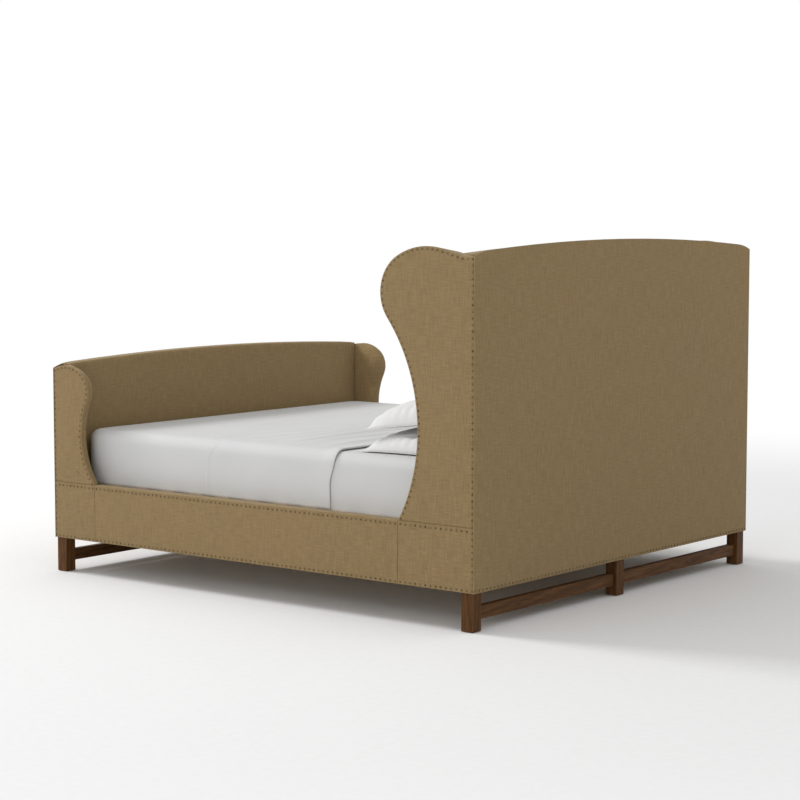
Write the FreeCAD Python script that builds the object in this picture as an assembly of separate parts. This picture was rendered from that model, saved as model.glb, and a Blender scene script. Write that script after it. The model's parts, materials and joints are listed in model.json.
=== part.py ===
import FreeCAD, Part
import math
import os

# Upholstered king bed with winged headboard and footboard, in millimetres.
# X is the bed's width, Y its length with the head at +Y, Z is up.
# The origin is on the floor at the centre of the bed; "left" is the +X side.

V = FreeCAD.Vector

# ---------------------------------------------------------------- driving sizes
bed_width = 2150.0
bed_length = 2400.0
hem_height = 158.0            # underside of all the upholstery
rail_top = 416.0              # top of the side rails

head_corner_height = 1477.0
head_crown_height = 1535.0
head_shoulder_drop = 35.0     # fall of the long arc between the crown and the shoulders
foot_corner_height = 938.0
foot_crown_height = 990.0
foot_shoulder_drop = 28.0
arch_shoulder_length = 97.0   # width of the rounded shoulder at each end of an arch

# wings, measured forward from the outer face of their end of the bed
head_wing = dict(corner=head_corner_height, ramp_start=58.0, crown_at=240.0, blend_angle=60.0,
                 reach=474.0, shoulder_height=1330.0, shoulder_radius=167.0,
                 waist=284.0, waist_height=780.0)
foot_wing = dict(corner=foot_corner_height, ramp_start=16.0, crown_at=85.0, blend_angle=50.0,
                 reach=229.0, shoulder_height=838.0, shoulder_radius=98.0,
                 waist=182.0, waist_height=640.0)

board_thickness = 36.0        # shaped side boards and rail boards
inner_ply = 18.0              # inner ply of a shaped side board
inner_ply_setback = 18.0      # room for the padding that rolls over a wing's inner edge
cover_out = 10.0              # wadding and cloth over the outer faces and the edges
cover_in = 14.0               # padding over the inner faces
end_cover = 6.0               # wadding and cloth over the head's back and the foot's front
cover_edge_radius = 8.0       # rounding of the padded inner edges

head_frame_depth = 124.0      # timber frame behind the headboard's pad
head_panel_thickness = 15.0
head_pad_thickness = 85.0
head_post_width = 60.0
head_rail_depth = 60.0        # front-to-back size of the two cross rails
head_lower_rail_height = 224.0
head_top_rail_height = 90.0
head_pad_bottom = 384.0
top_wrap = 14.0               # padding over the top edge of both end boards

foot_panel_thickness = 24.0
foot_pad_thickness = 38.0
foot_lower_rail_depth = 46.0
foot_pad_bottom = 390.0

leg_size = 57.0
leg_inset_x = 6.0             # least distance from a leg to the bed's side
leg_lap = 3.0                 # least reach of a corner leg under the end frame
leg_inset_y = 10.0
leg_edge_radius = 2.0
glide_radius = 16.0
glide_height = 3.0
stretcher_bottom = 46.0
stretcher_height = 52.0
stretcher_thickness = 28.0
tenon_length = 15.0
tenon_shoulder = 7.0          # how far the tenon is stepped in from the stretcher's faces
leg_bolt_radius = 5.0
leg_bolt_in_leg = 55.0
leg_bolt_in_frame = 60.0

bracket_height = 140.0
bracket_width = 24.0
bracket_plate = 3.0
hook_length = 9.0
hook_height = 16.0
hook_thickness = 6.0

slat_top = 400.0
slat_thickness = 18.0
slat_width = 76.0
slat_count = 13
slat_end_gap = 3.0
slat_end_room = 8.0           # from the first and last slats to the bed's two ends
ledger_width = 34.0
ledger_height = 44.0

beam_width = 60.0
beam_height = 90.0
beam_bracket_thickness = 4.0
beam_bracket_seat = 45.0      # how far the shoe reaches under the beam
support_spacing = 1000.0
support_size = 60.0
pad_radius = 27.0
pad_height = 8.0
pad_socket_depth = 4.0
stem_radius = 5.0
stem_length = 70.0
stem_clearance = 0.06
stem_hole_clearance = 0.5     # in the leg, above the threaded insert
stem_end_gap = 5.0            # between the stem's top and the end of its hole
stem_seat_gap = 0.05
pad_chamfer = 2.0
insert_flange_radius = 12.0
insert_flange = 2.0
insert_radius = 7.5
insert_length = 24.0
stop_gap = 0.3

mattress_height = 250.0
mattress_corner = 80.0
mattress_edge = 45.0
side_gap = 50.0               # between each side of the bed and the mattress
foot_gap = 17.0               # between the footboard's pad and the mattress
head_gap = 68.0               # between the mattress and the headboard's pad
soft_gap = 0.5                # free space left under each loose soft piece
sheet_thickness = 2.0
cover_layer = 3.0             # one layer of the turned-down top sheet
tuck_height = 408.0           # where the top sheet is tucked out of sight
turn_down_start = 635.0       # from the headboard's pad to the top sheet's fold
turn_down_width = 680.0       # from the fold to the folded-back hem

pillow_width = 900.0
pillow_depth = 480.0
pillow_height = 108.0
pillow_edge = 5.0             # thickness at the seam
pillow_shoulder = 230.0       # how far the rounding runs in from each end
pillow_shoulder_share = 0.46  # the most of the pillow's depth that one end's rounding takes
pillow_gap = 15.0             # from the bed's centre line to a pillow
pillow_to_pad = 12.0
upper_pillow_tilt = 4.0       # degrees, head edge up
upper_pillow_shift = 18.0     # upper pillow lies this much nearer the foot

nail_pitch = 25.4
nail_radius = 4.5
nail_height = 2.2
nail_inset = 10.0             # from an edge or corner to the row's centre line
rail_nail_drop = 14.0         # from the rails' top to their upper row

# ---------------------------------------------------------------- derived places
half_width = bed_width / 2
half_length = bed_length / 2
wing_thickness = cover_out + board_thickness + cover_in
side_inner = half_width - wing_thickness
board_outer = half_width - cover_out
board_inner = board_outer - board_thickness

head_frame_back = half_length - end_cover
head_frame_front = head_frame_back - head_frame_depth
head_pad_front = head_frame_front - head_pad_thickness
foot_panel_front = -half_length + end_cover
foot_panel_back = foot_panel_front + foot_panel_thickness
foot_pad_face = foot_panel_back + foot_pad_thickness

leg_x = min(half_width - leg_inset_x - leg_size / 2, side_inner - leg_lap + leg_size / 2)
leg_y = half_length - leg_inset_y - leg_size / 2

slat_bottom = slat_top - slat_thickness
beam_bottom = slat_bottom - beam_height
beam_foot_end = foot_panel_back + foot_lower_rail_depth
beam_head_end = head_frame_front

mattress_bottom = slat_top + soft_gap
mattress_top = mattress_bottom + mattress_height
mattress_foot = foot_pad_face + foot_gap
mattress_head = head_pad_front - head_gap
mattress_half = side_inner - side_gap
turn_down_edge = head_pad_front - turn_down_start
turn_down_hem = turn_down_edge - turn_down_width
depth_shoulder = min(pillow_shoulder, pillow_shoulder_share * pillow_depth)

parts = {}


# ---------------------------------------------------------------- shape helpers
def box(x0, x1, y0, y1, z0, z1):
    return Part.makeBox(x1 - x0, y1 - y0, z1 - z0, V(x0, y0, z0))


def mirrored(shape):
    return shape.mirror(V(0, 0, 0), V(1, 0, 0))


def both_sides(name, shape):
    """Store a +X piece as its left node and its mirror image as the right one."""
    parts[name + "_left"] = shape
    parts[name + "_right"] = mirrored(shape)


def arc(p0, mid, p1):
    return Part.Arc(p0, mid, p1).toShape()


def line(p0, p1):
    return Part.LineSegment(p0, p1).toShape()


def on_circle(centre, radius, angle):
    """Point of a circle in the YZ plane, by its angle from +Y in degrees."""
    a = math.radians(angle)
    return V(0, centre.y + radius * math.cos(a), centre.z + radius * math.sin(a))


def circle_arc(centre, radius, start, end):
    return arc(on_circle(centre, radius, start), on_circle(centre, radius, (start + end) / 2),
               on_circle(centre, radius, end))


def arch_edges(crown, drop, corner, inset, y):
    """Top outline of an end board: one long arc and a rounded shoulder at each end.

    inset moves the whole outline down and stops it that much higher than its bottom.
    """
    shoulder_x = half_width - arch_shoulder_length
    shoulder_z = crown - drop
    radius = (shoulder_x ** 2 + drop ** 2) / (2 * drop)
    slope = math.asin(shoulder_x / radius)
    # the shoulder's arc starts in line with the long arc and ends at the corner height
    fall = shoulder_z - corner
    chord = math.hypot(arch_shoulder_length, fall)
    turn = math.atan2(fall, arch_shoulder_length) - slope
    bulge = chord / 2 * math.tan(turn / 2)
    middle_x = shoulder_x + arch_shoulder_length / 2 + bulge * fall / chord
    middle_z = shoulder_z - fall / 2 + bulge * arch_shoulder_length / chord
    left_end = V(half_width, y, corner - inset)
    left = V(shoulder_x, y, shoulder_z - inset)
    right = V(-shoulder_x, y, shoulder_z - inset)
    right_end = V(-half_width, y, corner - inset)
    return [arc(left_end, V(middle_x, y, middle_z - inset), left),
            arc(left, V(0, y, crown - inset), right),
            arc(right, V(-middle_x, y, middle_z - inset), right_end)]


def arched_board(crown, drop, corner, inset, bottom, y0, y1, half):
    """Board between y0 and y1 under an arch, cut to the given half width."""
    edges = arch_edges(crown, drop, corner, inset, y0)
    low_right = V(-half_width, y0, bottom)
    low_left = V(half_width, y0, bottom)
    edges.append(line(V(-half_width, y0, corner - inset), low_right))
    edges.append(line(low_right, low_left))
    edges.append(line(low_left, V(half_width, y0, corner - inset)))
    solid = Part.Face(Part.Wire(Part.__sortEdges__(edges))).extrude(V(0, y1 - y0, 0))
    if half < half_width:
        solid = solid.common(box(-half, half, y0 - 1, y1 + 1, bottom - 1, crown + 1))
    return solid


def head_arch(inset, bottom, y0, y1, half):
    return arched_board(head_crown_height, head_shoulder_drop, head_corner_height,
                        inset, bottom, y0, y1, half)


def foot_arch(inset, bottom, y0, y1, half):
    return arched_board(foot_crown_height, foot_shoulder_drop, foot_corner_height,
                        inset, bottom, y0, y1, half)


def wing_circles(wing, inset):
    """Centres and radii of the crown, shoulder and waist circles of a wing."""
    shoulder_radius = wing["shoulder_radius"]
    shoulder_y = wing["reach"] - shoulder_radius
    offset = wing["waist"] - shoulder_y
    height = wing["shoulder_height"] - wing["waist_height"]
    waist_radius = (offset ** 2 + height ** 2 - shoulder_radius ** 2) / (2 * (shoulder_radius - offset))
    blend = on_circle(V(0, shoulder_y, wing["shoulder_height"]), shoulder_radius, wing["blend_angle"])
    crown_radius = (blend.y - wing["crown_at"]) / math.cos(math.radians(wing["blend_angle"]))
    crown_z = blend.z - crown_radius * math.sin(math.radians(wing["blend_angle"]))
    crown = (V(0, wing["crown_at"], crown_z), crown_radius - inset)
    shoulder = (V(0, shoulder_y, wing["shoulder_height"]), shoulder_radius - inset)
    waist = (V(0, wing["waist"] + waist_radius, wing["waist_height"]), waist_radius + inset)
    return crown, shoulder, waist


def wing_foot(wing, inset, z):
    """How far forward the wing's waist circle is at height z."""
    centre, radius = wing_circles(wing, inset)[2]
    return centre.y - math.sqrt(radius ** 2 - (centre.z - z) ** 2)


def wing_edges(wing, inset, bottom):
    """Outline of a wing from the back corner over the crown and down to bottom."""
    crown, shoulder, waist = wing_circles(wing, inset)
    top = wing["corner"] - inset
    tilt = math.degrees(math.atan2(waist[0].z - shoulder[0].z, waist[0].y - shoulder[0].y))
    # the crown's arc starts where a straight ramp from the flat corner touches it
    run = crown[0].y - wing["ramp_start"]
    rise = top - crown[0].z
    reach = math.hypot(run, rise)
    if reach > crown[1]:
        start_angle = math.degrees(math.atan2(rise, -run) - math.acos(crown[1] / reach))
        flat_end = wing["ramp_start"]
    else:
        start_angle = 180 - math.degrees(math.asin(rise / crown[1]))
        flat_end = on_circle(crown[0], crown[1], start_angle).y
    end_angle = math.degrees(math.asin((bottom - waist[0].z) / waist[1]))
    edges = [line(V(0, inset, top), V(0, flat_end, top))]
    if reach > crown[1]:
        edges.append(line(V(0, flat_end, top), on_circle(crown[0], crown[1], start_angle)))
    edges.append(circle_arc(crown[0], crown[1], start_angle, wing["blend_angle"]))
    edges.append(circle_arc(shoulder[0], shoulder[1], wing["blend_angle"], tilt))
    edges.append(circle_arc(waist[0], waist[1], tilt + 180, 180 - end_angle))
    return edges


def wing_solid(wing, inset, bottom, x0, x1):
    """Flat solid with the wing's outline, from its outer face (y = 0) forward."""
    edges = wing_edges(wing, inset, bottom)
    top_back = V(0, inset, wing["corner"] - inset)
    low_back = V(0, inset, bottom)
    low_front = V(0, wing_foot(wing, inset, bottom), bottom)
    edges.append(line(low_front, low_back))
    edges.append(line(low_back, top_back))
    face = Part.Face(Part.Wire(Part.__sortEdges__(edges)))
    face.translate(V(x0, 0, 0))
    return face.extrude(V(x1 - x0, 0, 0))


def to_end(shape, end):
    """Move a solid built forward from y = 0 to the head (+1) or the foot (-1) of the bed."""
    if end > 0:
        shape = shape.mirror(V(0, 0, 0), V(0, 1, 0))
    shape.translate(V(0, end * half_length, 0))
    return shape


def edges_at_x(shape, x, z_min):
    return [e for e in shape.Edges
            if all(abs(v.X - x) < 0.01 for v in e.Vertexes) and e.BoundBox.ZMax > z_min]


# ---------------------------------------------------------------- wings and bases
def build_side_panels(name, wing, end):
    """Shaped board, wing cover and base cover of one end of the left side."""
    base_length = wing_foot(wing, 0, rail_top)
    upper = wing_solid(wing, cover_out, rail_top, board_inner + inner_ply, board_outer)
    upper = upper.fuse(wing_solid(wing, cover_out + inner_ply_setback, rail_top,
                                  board_inner, board_inner + inner_ply))
    upper = upper.common(box(board_inner, board_outer, end_cover, bed_length, rail_top, 3000))
    # below the rail's top the board is a plain block, set back for the rail's bracket
    lower = box(board_inner, board_outer, end_cover, base_length - bracket_plate, hem_height, rail_top)
    board = upper.fuse(lower).removeSplitter()

    skin = wing_solid(wing, 0, rail_top, side_inner, half_width)
    padded = [e for e in edges_at_x(skin, side_inner, rail_top + 1) if e.BoundBox.YMax > end_cover + 1]
    skin = skin.makeFillet(cover_edge_radius, padded)
    skin = skin.common(box(side_inner, half_width, end_cover, bed_length, rail_top, 3000))
    wing_cover = skin.cut(board)

    block = box(side_inner, half_width, end_cover, base_length, hem_height, rail_top)
    base_cover = block.cut(board)
    socket = box(board_inner, board_outer, base_length - bracket_plate - 1, base_length + 1,
                 hem_height - 1, rail_top - cover_out)
    base_cover = base_cover.cut(socket)

    bolt = Part.makeCylinder(leg_bolt_radius, leg_bolt_in_frame,
                             V(leg_x, half_length - leg_y, hem_height))
    board = board.cut(bolt)
    slots = hooks(base_length - bracket_plate, -1)
    board = board.cut(slots[0]).cut(slots[1])

    both_sides(name + "_side_board", to_end(board, end))
    both_sides(name + "_wing_cover", to_end(wing_cover, end))
    both_sides(name + "_base_cover", to_end(base_cover, end))
    return base_length


def bracket_centre():
    return (board_inner + board_outer) / 2, (hem_height + rail_top - cover_out) / 2


def hooks(y, way):
    """The two hooks of one rail bracket, standing way (+1 or -1) along Y from y."""
    x, z = bracket_centre()
    y0, y1 = sorted((y, y + way * hook_length))
    solids = []
    for side in (-1, 1):
        middle = z + side * bracket_height / 4
        solids.append(box(x - hook_thickness / 2, x + hook_thickness / 2, y0, y1,
                          middle - hook_height / 2, middle + hook_height / 2))
    return solids


head_base_length = build_side_panels("head", head_wing, 1)
foot_base_length = build_side_panels("foot", foot_wing, -1)
rail_head_end = half_length - head_base_length
rail_foot_end = -half_length + foot_base_length


# ---------------------------------------------------------------- headboard
def build_headboard():
    panel_back = head_frame_front + head_panel_thickness
    rail_front = head_frame_back - head_rail_depth
    post_inner = side_inner - head_post_width

    parts["head_panel"] = head_arch(top_wrap, hem_height, head_frame_front, panel_back, side_inner)

    post = head_arch(top_wrap, hem_height, panel_back, head_frame_back, side_inner)
    post = post.common(box(post_inner, side_inner, 0, bed_length, 0, 3000))
    both_sides("head_post", post)

    between = head_arch(top_wrap, hem_height, rail_front, head_frame_back, post_inner)
    lower = between.common(box(-post_inner, post_inner, 0, bed_length, 0,
                               hem_height + head_lower_rail_height))
    bolt = Part.makeCylinder(leg_bolt_radius, leg_bolt_in_frame, V(0, leg_y, hem_height))
    parts["head_lower_rail"] = lower.cut(bolt)
    under = head_arch(top_wrap + head_top_rail_height, hem_height, rail_front, head_frame_back, post_inner)
    parts["head_top_rail"] = between.cut(under)

    parts["head_back_cover"] = head_arch(0, hem_height, head_frame_back, half_length, half_width)

    pad = head_arch(0, head_pad_bottom, head_pad_front, head_frame_back, side_inner)
    front = [e for e in pad.Edges if abs(e.BoundBox.YMax - head_pad_front) < 0.01]
    pad = pad.makeFillet(cover_edge_radius, front)
    frame = head_arch(top_wrap, 0, head_frame_front, head_frame_back + 1, side_inner + 1)
    parts["head_front_pad"] = pad.cut(frame)


# ---------------------------------------------------------------- footboard
def build_footboard():
    parts["foot_panel"] = foot_arch(top_wrap, hem_height, foot_panel_front, foot_panel_back, side_inner)

    lower = box(-side_inner, side_inner, foot_panel_back, foot_panel_back + foot_lower_rail_depth,
                hem_height, slat_bottom)
    bolt = Part.makeCylinder(leg_bolt_radius, leg_bolt_in_frame, V(0, -leg_y, hem_height))
    parts["foot_lower_rail"] = lower.cut(bolt)

    parts["foot_outer_cover"] = foot_arch(0, hem_height, -half_length, foot_panel_front, half_width)

    pad = foot_arch(0, foot_pad_bottom, foot_panel_front, foot_pad_face, side_inner)
    inner = [e for e in pad.Edges if abs(e.BoundBox.YMin - foot_pad_face) < 0.01]
    pad = pad.makeFillet(cover_edge_radius, inner)
    panel = foot_arch(top_wrap, 0, foot_panel_front - 1, foot_panel_back, side_inner + 1)
    parts["foot_inner_pad"] = pad.cut(panel)


# ---------------------------------------------------------------- side rails
def build_rails():
    board = box(board_inner, board_outer, rail_foot_end + bracket_plate, rail_head_end - bracket_plate,
                hem_height, rail_top - cover_out)
    both_sides("rail_board", board)

    cover = box(side_inner, half_width, rail_foot_end, rail_head_end, hem_height, rail_top)
    inner_top = [e for e in edges_at_x(cover, side_inner, rail_top - 1) if e.BoundBox.ZMin > rail_top - 1]
    cover = cover.makeFillet(cover_edge_radius, inner_top)
    hollow = box(board_inner, board_outer, rail_foot_end - 1, rail_head_end + 1,
                 hem_height - 1, rail_top - cover_out)
    both_sides("rail_cover", cover.cut(hollow))

    ledger = box(side_inner - ledger_width, side_inner, beam_foot_end, beam_head_end,
                 slat_bottom - ledger_height, slat_bottom)
    both_sides("slat_ledger", ledger)


def build_rail_brackets():
    """A hook plate on each end of each rail and a slotted plate on each base block."""
    x, z = bracket_centre()
    solids = []
    for seam, way in ((rail_head_end, 1), (rail_foot_end, -1)):
        rail_y = sorted((seam, seam - way * bracket_plate))
        block_y = sorted((seam, seam + way * bracket_plate))
        sizes = (x - bracket_width / 2, x + bracket_width / 2)
        low, high = z - bracket_height / 2, z + bracket_height / 2
        hook_pair = hooks(seam, way)
        hook_plate = box(sizes[0], sizes[1], rail_y[0], rail_y[1], low, high).fuse(hook_pair)
        slot_plate = box(sizes[0], sizes[1], block_y[0], block_y[1], low, high)
        for hook in hook_pair:
            slot_plate = slot_plate.cut(hook)
        solids += [hook_plate.removeSplitter(), slot_plate]
    solids += [mirrored(s) for s in solids]
    parts["rail_brackets"] = Part.makeCompound(solids)


# ---------------------------------------------------------------- legs
def build_legs():
    places = (("left", leg_x), ("centre", 0.0), ("right", -leg_x))
    glides = []
    bolts = []
    for end_name, y in (("head", leg_y), ("foot", -leg_y)):
        for side, x in places:
            half = leg_size / 2
            leg = box(x - half, x + half, y - half, y + half, glide_height, hem_height)
            upright = [e for e in leg.Edges if abs(e.BoundBox.ZLength - (hem_height - glide_height)) < 0.01]
            leg = leg.makeFillet(leg_edge_radius, upright)
            for way in (-1, 1):
                if abs(x + way * half) < leg_x:
                    leg = leg.cut(tenon(x + way * half, -way, y))
            bolt = Part.makeCylinder(leg_bolt_radius, leg_bolt_in_leg + leg_bolt_in_frame,
                                     V(x, y, hem_height - leg_bolt_in_leg))
            bolts.append(bolt)
            parts[end_name + "_leg_" + side] = leg.cut(bolt)
            glides.append(Part.makeCylinder(glide_radius, glide_height, V(x, y, 0)))
        body = box(leg_size / 2, leg_x - leg_size / 2, y - stretcher_thickness / 2,
                   y + stretcher_thickness / 2, stretcher_bottom, stretcher_bottom + stretcher_height)
        stretcher = body.fuse([tenon(leg_size / 2, -1, y), tenon(leg_x - leg_size / 2, 1, y)])
        both_sides(end_name + "_stretcher", stretcher.removeSplitter())
    parts["leg_glides"] = Part.makeCompound(glides)
    parts["leg_bolts"] = Part.makeCompound(bolts)


def tenon(x, way, y):
    """Stub tenon of a stretcher, reaching way (+1 or -1) along X from the leg's face at x."""
    x0, x1 = sorted((x, x + way * tenon_length))
    half = stretcher_thickness / 2 - tenon_shoulder
    return box(x0, x1, y - half, y + half, stretcher_bottom + tenon_shoulder,
               stretcher_bottom + stretcher_height - tenon_shoulder)


# ---------------------------------------------------------------- slats and their support
def build_slats():
    first = beam_foot_end + slat_end_room + slat_width / 2
    last = head_pad_front - slat_end_room - slat_width / 2
    step = (last - first) / (slat_count - 1)
    reach = side_inner - slat_end_gap
    slats = []
    for i in range(slat_count):
        y = first + i * step
        slats.append(box(-reach, reach, y - slat_width / 2, y + slat_width / 2, slat_bottom, slat_top))
    parts["slats"] = Part.makeCompound(slats)


def build_centre_support():
    half = beam_width / 2
    t = beam_bracket_thickness
    parts["centre_beam"] = box(-half, half, beam_foot_end + t, beam_head_end - t, beam_bottom, slat_bottom)
    shoes = []
    for y, way in ((beam_foot_end, 1), (beam_head_end, -1)):
        plate_y = sorted((y, y + way * t))
        seat_y = sorted((y, y + way * beam_bracket_seat))
        plate = box(-half - t, half + t, plate_y[0], plate_y[1], beam_bottom - t, slat_bottom)
        seat = box(-half - t, half + t, seat_y[0], seat_y[1], beam_bottom - t, beam_bottom)
        cheeks = [box(x, x + t, seat_y[0], seat_y[1], beam_bottom, beam_bottom + beam_height / 2)
                  for x in (-half - t, half)]
        shoes.append(plate.fuse([seat] + cheeks).removeSplitter())
    parts["beam_brackets"] = Part.makeCompound(shoes)

    inserts = []
    insert_bottom = pad_height + stop_gap
    leg_bottom = insert_bottom + insert_flange
    side = support_size / 2
    for number, y in ((1, -support_spacing / 2), (2, support_spacing / 2)):
        leg = box(-side, side, y - side, y + side, leg_bottom, beam_bottom)
        leg = leg.cut(Part.makeCylinder(insert_radius, insert_length, V(0, y, leg_bottom)))
        stem_room = stem_length + pad_height - leg_bottom + stem_end_gap
        leg = leg.cut(Part.makeCylinder(stem_radius + stem_hole_clearance, stem_room, V(0, y, leg_bottom)))
        parts["support_leg_%d" % number] = leg

        insert = Part.makeCylinder(insert_flange_radius, insert_flange, V(0, y, insert_bottom))
        insert = insert.fuse(Part.makeCylinder(insert_radius, insert_length, V(0, y, leg_bottom)))
        bore = Part.makeCylinder(stem_radius + stem_clearance, insert_length + insert_flange,
                                 V(0, y, insert_bottom))
        inserts.append(insert.removeSplitter().cut(bore))

        pad = Part.makeCylinder(pad_radius, pad_height, V(0, y, 0))
        rim = [e for e in pad.Edges if abs(e.BoundBox.ZMin - pad_height) < 0.01]
        pad = pad.makeChamfer(pad_chamfer, rim)
        socket = Part.makeCylinder(stem_radius + stem_clearance, pad_socket_depth,
                                   V(0, y, pad_height - pad_socket_depth))
        parts["leveller_pad_%d" % number] = pad.cut(socket)
        parts["leveller_stem_%d" % number] = Part.makeCylinder(
            stem_radius, stem_length, V(0, y, pad_height - pad_socket_depth + stem_seat_gap))
    parts["leveller_inserts"] = Part.makeCompound(inserts)


# ---------------------------------------------------------------- bedding
def mattress_block(grow):
    """The mattress grown by a layer on its top and sides, standing on the slats."""
    half = mattress_half + grow
    solid = box(-half, half, mattress_foot - grow, mattress_head + grow, mattress_bottom,
                mattress_top + grow)
    upright = [e for e in solid.Edges if e.BoundBox.ZLength > mattress_height / 2]
    solid = solid.makeFillet(mattress_corner + grow, upright)
    top = [e for e in solid.Edges if abs(e.BoundBox.ZMin - mattress_top - grow) < 0.01]
    return solid.makeFillet(mattress_edge + grow, top)


def layer(inner, outer, y0, y1, z0):
    shell = mattress_block(outer).cut(mattress_block(inner))
    return shell.common(box(-bed_width, bed_width, y0, y1, z0, 2 * mattress_top))


def build_bedding():
    parts["mattress"] = mattress_block(0)
    parts["fitted_sheet"] = mattress_block(sheet_thickness).cut(mattress_block(0))
    one = sheet_thickness + cover_layer
    two = one + cover_layer
    lower = layer(sheet_thickness, one, -bed_length, turn_down_edge, tuck_height)
    folded = layer(one, two, turn_down_hem, turn_down_edge, tuck_height)
    parts["top_sheet"] = lower.fuse(folded).removeSplitter()


def pillow():
    """Cushion with a flat underside, standing on z = 0 and centred on x = y = 0."""
    def prism(length, shoulder, along, depth):
        half = length / 2
        rise = pillow_height - pillow_edge
        # the shoulder's arc is level where it meets the flat top
        radius = (shoulder ** 2 + rise ** 2) / (2 * rise)
        sweep = math.asin(shoulder / radius)
        mid_u = half - shoulder + radius * math.sin(sweep / 2)
        mid_z = pillow_height - radius * (1 - math.cos(sweep / 2))

        def point(u, z):
            return V(u, -depth / 2, z) if along == "x" else V(-depth / 2, u, z)

        low_a, low_b = point(-half, 0), point(half, 0)
        seam_a, seam_b = point(-half, pillow_edge), point(half, pillow_edge)
        top_a = point(-(half - shoulder), pillow_height)
        top_b = point(half - shoulder, pillow_height)
        edges = [line(low_a, low_b), line(low_b, seam_b),
                 arc(seam_b, point(mid_u, mid_z), top_b), line(top_b, top_a),
                 arc(top_a, point(-mid_u, mid_z), seam_a), line(seam_a, low_a)]
        way = V(0, depth, 0) if along == "x" else V(depth, 0, 0)
        return Part.Face(Part.Wire(edges)).extrude(way)

    long_way = prism(pillow_width, pillow_shoulder, "x", pillow_depth)
    short_way = prism(pillow_depth, depth_shoulder, "y", pillow_width)
    return long_way.common(short_way)


def build_pillows():
    x = pillow_gap + pillow_width / 2
    y = head_pad_front - pillow_to_pad - pillow_depth / 2
    z = mattress_top + sheet_thickness + soft_gap
    lower = pillow()
    lower.translate(V(x, y, z))
    both_sides("pillow_lower", lower)

    upper = pillow()
    upper.rotate(V(0, 0, 0), V(1, 0, 0), upper_pillow_tilt)
    # the tilted underside clears the flat crown of the pillow below at its foot-side end
    crown_half = pillow_depth / 2 - depth_shoulder
    lift = pillow_height + soft_gap
    lift += (crown_half + upper_pillow_shift) * math.tan(math.radians(upper_pillow_tilt))
    upper.translate(V(x, y - upper_pillow_shift, z + lift))
    both_sides("pillow_upper", upper)


# ---------------------------------------------------------------- nailheads
def nail_at(place, outward):
    """Low domed nailhead lying on a face at place, with its dome pointing outward."""
    sphere_radius = (nail_radius ** 2 + nail_height ** 2) / (2 * nail_height)
    nail = Part.makeSphere(sphere_radius, V(0, 0, nail_height - sphere_radius))
    size = 3 * sphere_radius
    nail = nail.common(Part.makeBox(size, size, size, V(-size / 2, -size / 2, 0)))
    nail.Placement = FreeCAD.Placement(place, FreeCAD.Rotation(V(0, 0, 1), outward))
    return nail


def row(start, end):
    """Places from start to end, both included, at the nearest even pitch."""
    steps = max(1, round((end - start).Length / nail_pitch))
    return [start + (end - start) * (i / steps) for i in range(steps + 1)]


def wing_row(wing, end):
    """Places along the wing's edge, from the corner column to the rail's upper row."""
    path = Part.Wire(wing_edges(wing, nail_inset, rail_top - rail_nail_drop))
    points = path.discretize(Number=round(path.Length / nail_pitch) + 1)[1:-1]
    return [V(half_width, end * (half_length - p.y), p.z) for p in points]


def build_nailheads():
    low = hem_height + nail_inset
    upper = rail_top - rail_nail_drop
    x = half_width
    side = []
    for wing, end, seam, base in ((head_wing, 1, rail_head_end, head_base_length),
                                  (foot_wing, -1, rail_foot_end, foot_base_length)):
        corner = end * (half_length - nail_inset)
        near_seam = seam + end * nail_pitch / 2
        side += row(V(x, corner, low), V(x, corner, wing["corner"] - nail_inset))
        side += row(V(x, near_seam, low), V(x, corner, low))[:-1]
        side += row(V(x, near_seam, upper), V(x, corner, upper))[:-1]
        side += wing_row(wing, end)
    for z in (low, upper):
        side += row(V(x, rail_foot_end + nail_pitch / 2, z), V(x, rail_head_end - nail_pitch / 2, z))
    nails = []
    for p in side:
        nails.append(nail_at(p, V(1, 0, 0)))
        nails.append(nail_at(V(-p.x, p.y, p.z), V(-1, 0, 0)))
    for end in (1, -1):
        across = half_width - nail_inset
        for p in row(V(-across, end * half_length, low), V(across, end * half_length, low)):
            nails.append(nail_at(p, V(0, end, 0)))
    parts["nailheads"] = Part.makeCompound(nails)


build_headboard()
build_footboard()
build_rails()
build_rail_brackets()
build_legs()
build_slats()
build_centre_support()
build_bedding()
build_pillows()
build_nailheads()

os.makedirs("parts", exist_ok=True)
for node, shape in parts.items():
    shape.exportStep("parts/" + node + ".step")
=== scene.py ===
"""Looks of an upholstered wing bed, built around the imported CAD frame. Metres, same frame as the CAD."""
import json
import math

import bpy
import numpy as np
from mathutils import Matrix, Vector, geometry, noise


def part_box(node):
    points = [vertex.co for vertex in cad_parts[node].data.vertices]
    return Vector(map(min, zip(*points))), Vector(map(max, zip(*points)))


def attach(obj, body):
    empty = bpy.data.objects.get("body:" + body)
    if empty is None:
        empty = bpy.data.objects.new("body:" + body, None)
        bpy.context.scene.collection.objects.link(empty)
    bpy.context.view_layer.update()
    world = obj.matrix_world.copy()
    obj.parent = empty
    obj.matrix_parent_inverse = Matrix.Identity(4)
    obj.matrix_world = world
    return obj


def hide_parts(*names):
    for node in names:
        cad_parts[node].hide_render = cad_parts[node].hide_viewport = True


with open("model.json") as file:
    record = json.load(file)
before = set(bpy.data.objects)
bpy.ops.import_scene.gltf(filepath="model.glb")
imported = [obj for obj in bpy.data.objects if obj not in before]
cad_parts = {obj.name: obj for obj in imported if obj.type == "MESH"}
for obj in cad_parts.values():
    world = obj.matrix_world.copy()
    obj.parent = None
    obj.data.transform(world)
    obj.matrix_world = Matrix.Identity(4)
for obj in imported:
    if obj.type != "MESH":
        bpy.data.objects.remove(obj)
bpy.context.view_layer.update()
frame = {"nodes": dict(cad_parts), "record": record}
nodes = frame["nodes"]

SIDES = (("left", 1), ("right", -1))

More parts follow.
